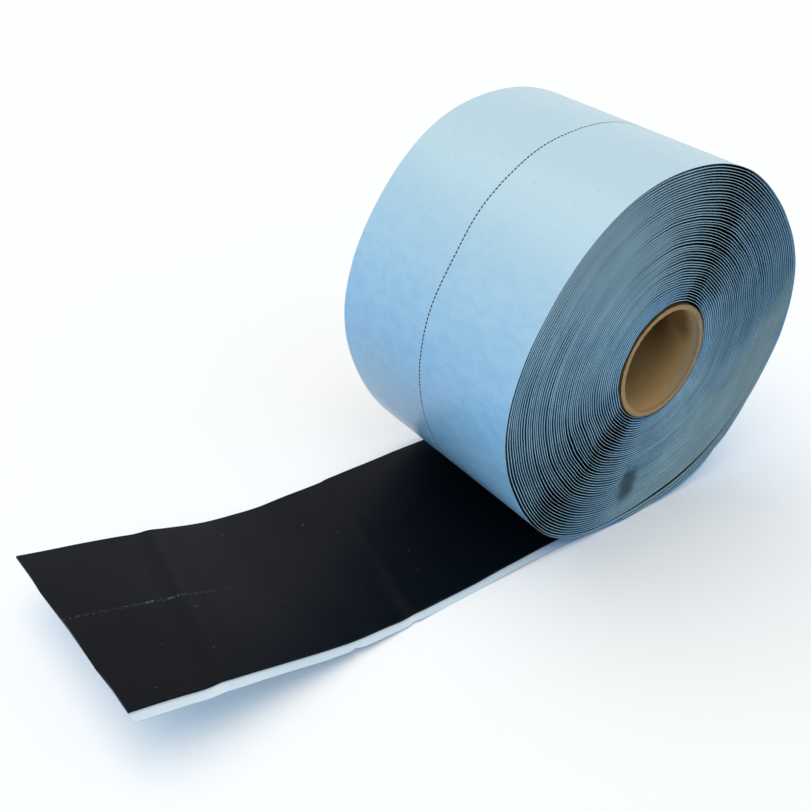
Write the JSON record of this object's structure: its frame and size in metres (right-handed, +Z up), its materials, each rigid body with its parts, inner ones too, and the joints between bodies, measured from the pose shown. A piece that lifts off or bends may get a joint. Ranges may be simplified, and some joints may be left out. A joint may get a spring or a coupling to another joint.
{
  "type": "roll of tanking tape",
  "caption": "Wide roll of self-adhesive black butyl sealing tape on a blue release liner and cardboard core, lying on its side with its free end run out flat, sticky side up.",
  "frame": {"origin": "middle of the object's footprint on the floor", "axes": "+X from the free end of the tape towards the roll, +Y along the core's axis, +Z up"},
  "size_m": [0.5344, 0.17, 0.2767],
  "materials": {
    "kraft_board": "matte",
    "wound_tape": "satin",
    "black_butyl": "satin",
    "blue_liner": "satin"
  },
  "bodies": {
    "root": {"cardboard_core": "kraft_board", "wound_turns": "wound_tape", "butyl_strip": "black_butyl", "release_liner": "blue_liner"}
  },
  "joints": []
}
